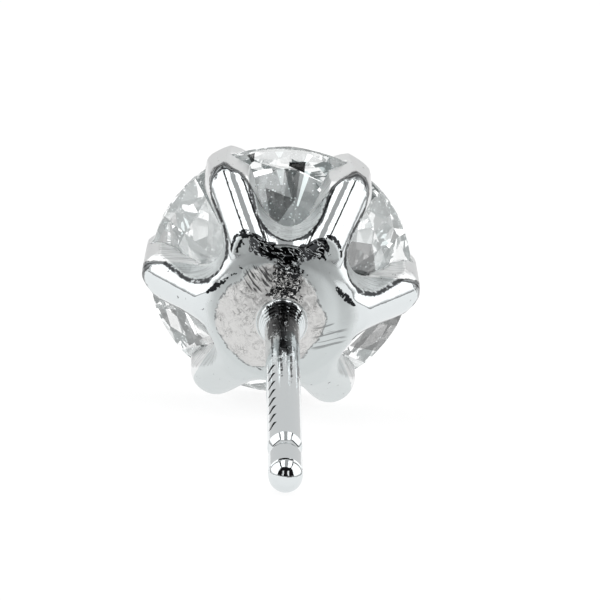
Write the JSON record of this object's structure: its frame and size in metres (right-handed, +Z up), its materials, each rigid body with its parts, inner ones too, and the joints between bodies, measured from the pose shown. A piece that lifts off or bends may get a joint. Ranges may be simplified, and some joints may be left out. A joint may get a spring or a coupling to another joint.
{
  "type": "stud earring",
  "caption": "Stud earring: a round brilliant-cut clear stone held by prongs in a white metal cup on a straight post with a rounded, grooved tip.",
  "frame": {"origin": "bottom centre of the box of the stud as it lies on a surface: on the elbows of its two lowest prongs and on the tip of its post", "axes": "+Z up; the post runs towards -Y and slopes down to the surface; the stone's table faces +Y and a little up; X is across the head"},
  "size_m": [0.007, 0.015, 0.0064],
  "materials": {
    "white_metal": "polished, satin inside the notches, rough as cast on the back",
    "stone": "cut and polished, clear"
  },
  "bodies": {
    "root": {"setting": "white_metal", "stone": "stone"}
  },
  "joints": []
}
